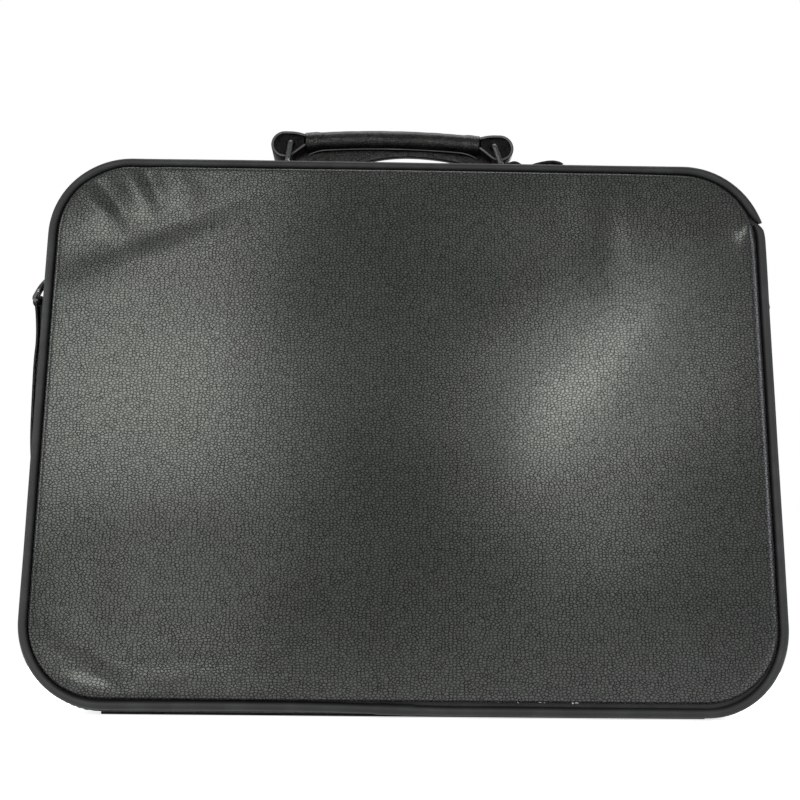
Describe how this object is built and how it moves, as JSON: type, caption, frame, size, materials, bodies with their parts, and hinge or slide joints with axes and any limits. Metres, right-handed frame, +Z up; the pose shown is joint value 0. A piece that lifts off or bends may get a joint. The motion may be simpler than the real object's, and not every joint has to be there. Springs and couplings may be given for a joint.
{
  "type": "leather briefcase",
  "caption": "Soft black leatherette briefcase with padded corded panels, a zipped lid hinged along the base, a handle hung on wire rings and a strap ring on each side.",
  "frame": {"origin": "Middle of the underside, on the surface the case stands on.", "axes": "+X to the right of someone facing the lid, +Y from the lid to the back, +Z up. The pictured face is the lid, looking along +Y."},
  "size_m": [0.4252, 0.0772, 0.3375],
  "materials": {
    "leatherette": "satin",
    "piping_vinyl": "satin",
    "lining": "matte",
    "webbing": "matte",
    "zip_coil": "satin",
    "foam": "matte",
    "board": "matte",
    "black_metal": "satin",
    "worn_metal": "satin"
  },
  "bodies": {
    "tub": {"tub_skin": "leatherette", "tub_foam": "foam", "tub_board": "board", "tub_piping": "piping_vinyl", "tub_gusset": "leatherette", "tub_lining": "lining", "tub_zip_tape": "webbing", "tub_zip_coil": "zip_coil", "tub_base": "leatherette", "hinge_fold": "piping_vinyl", "base_board": "board", "handle_anchor_left": "leatherette", "handle_anchor_right": "leatherette", "anchor_rivets": "black_metal", "handle_plate": "black_metal", "side_tab_left": "leatherette", "side_tab_right": "leatherette", "side_rivets": "black_metal", "side_washers": "black_metal", "hold_strap_under": "webbing", "hold_strap_over": "webbing"},
    "lid": {"lid_skin": "leatherette", "lid_foam": "foam", "lid_board": "board", "lid_piping": "piping_vinyl", "lid_gusset": "leatherette", "lid_lining": "lining", "lid_zip_tape": "webbing", "lid_zip_coil": "zip_coil", "lid_base": "leatherette", "lid_pocket": "lining", "lid_pocket_hem": "webbing"},
    "ring_left": {"handle_ring_left": "worn_metal"},
    "ring_right": {"handle_ring_right": "worn_metal"},
    "handle": {"handle_strap": "leatherette", "grip_cover": "leatherette", "grip_core": "foam"},
    "dee_left": {"dee_ring_left": "worn_metal"},
    "dee_right": {"dee_ring_right": "worn_metal"},
    "slider_left": {"zip_slider_left": "black_metal"},
    "slider_right": {"zip_slider_right": "black_metal"},
    "pull_left": {"zip_pull_left": "black_metal"},
    "pull_right": {"zip_pull_right": "black_metal"}
  },
  "joints": [
    {"name": "lid_hinge", "type": "hinge", "parent": "tub", "child": "lid", "pos_m": [0, -0.016, 0.00075], "axis": [1, 0, 0], "range_deg": [0, 110]},
    {"name": "slider_left_slide", "type": "slide", "parent": "tub", "child": "slider_left", "axis": [1, 0, 0], "range_m": [-0.237, 0]},
    {"name": "slider_right_slide", "type": "slide", "parent": "tub", "child": "slider_right", "axis": [1, 0, 0], "range_m": [0, 0.041]},
    {"name": "pull_left_swing", "type": "hinge", "parent": "slider_left", "child": "pull_left", "pos_m": [0.0905, -0.016, 0.3079], "axis": [0, 1, 0], "range_deg": [0, 105]},
    {"name": "pull_right_swing", "type": "hinge", "parent": "slider_right", "child": "pull_right", "pos_m": [0.1055, -0.016, 0.3079], "axis": [0, -1, 0], "range_deg": [0, 105]},
    {"name": "ring_left_swing", "type": "hinge", "parent": "tub", "child": "ring_left", "pos_m": [-0.071, 0.001, 0.3115], "axis": [0, 1, 0], "range_deg": [-15, 25]},
    {"name": "ring_right_swing", "type": "hinge", "parent": "tub", "child": "ring_right", "pos_m": [0.055, 0.001, 0.3115], "axis": [0, 1, 0], "range_deg": [-16, 26]},
    {"name": "handle_pivot", "type": "hinge", "parent": "ring_left", "child": "handle", "pos_m": [-0.06929, 0.001, 0.3254], "axis": [0, 1, 0], "range_deg": [-28, 17]},
    {"name": "dee_left_swing", "type": "hinge", "parent": "tub", "child": "dee_left", "pos_m": [-0.2115, 0.001, 0.227], "axis": [0, -1, 0], "range_deg": [-5, 150]},
    {"name": "dee_right_swing", "type": "hinge", "parent": "tub", "child": "dee_right", "pos_m": [0.2065, 0.001, 0.227], "axis": [0, 1, 0], "range_deg": [-2, 150]}
  ],
  "couplings": [
    {"joint": "ring_right_swing", "follows": "ring_left_swing", "ratio": 1},
    {"joint": "handle_pivot", "follows": "ring_left_swing", "ratio": -1.0498}
  ]
}
